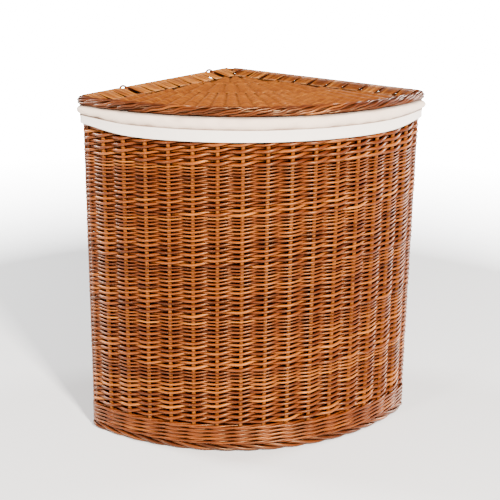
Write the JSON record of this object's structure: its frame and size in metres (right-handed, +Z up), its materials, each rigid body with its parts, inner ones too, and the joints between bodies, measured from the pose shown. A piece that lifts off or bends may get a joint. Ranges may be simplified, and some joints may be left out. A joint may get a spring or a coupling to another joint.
{
  "type": "laundry basket",
  "caption": "Fan-shaped corner laundry basket in woven willow, with a hinged woven lid and a white cotton liner folded over the rim.",
  "frame": {"origin": "on the floor, under the centre of the lid's bounding box", "axes": "+Z up; the curved front faces -Y and the square back corner points to +Y; +X is to the right seen from the front"},
  "size_m": [0.5694, 0.4221, 0.5743],
  "materials": {
    "willow": "satin varnish",
    "dark_willow": "satin varnish",
    "lid_willow": "satin varnish",
    "stakes": "satin varnish",
    "cotton": "matt"
  },
  "bodies": {
    "basket": {"foot_border": "dark_willow", "upsett_wale": "willow", "weave_band_1": "willow", "weave_band_2": "willow", "weave_band_3": "willow", "weave_band_4": "willow", "weave_band_5": "willow", "weave_band_6": "willow", "rim_border": "dark_willow", "front_stakes": "stakes", "left_stakes": "stakes", "right_stakes": "stakes", "back_post": "dark_willow", "left_post": "dark_willow", "right_post": "dark_willow", "base_frame": "dark_willow", "base_sticks": "stakes", "base_weave": "willow", "liner_bag": "cotton", "liner_cuff": "cotton", "liner_hem": "cotton", "hinge_loop_back": "dark_willow", "hinge_loop_front": "dark_willow"},
    "lid": {"lid_left_rod": "dark_willow", "lid_right_rod": "dark_willow", "lid_front_border": "dark_willow", "lid_stakes": "stakes", "lid_by_stakes": "stakes", "lid_panel": "lid_willow", "lid_left_band": "lid_willow", "lid_right_band": "lid_willow"}
  },
  "joints": [
    {"name": "lid_hinge", "type": "hinge", "parent": "basket", "child": "lid", "pos_m": [0, 0.20261, 0.564], "axis": [-0.7071, -0.7071, 0], "range_deg": [0, 110]}
  ]
}
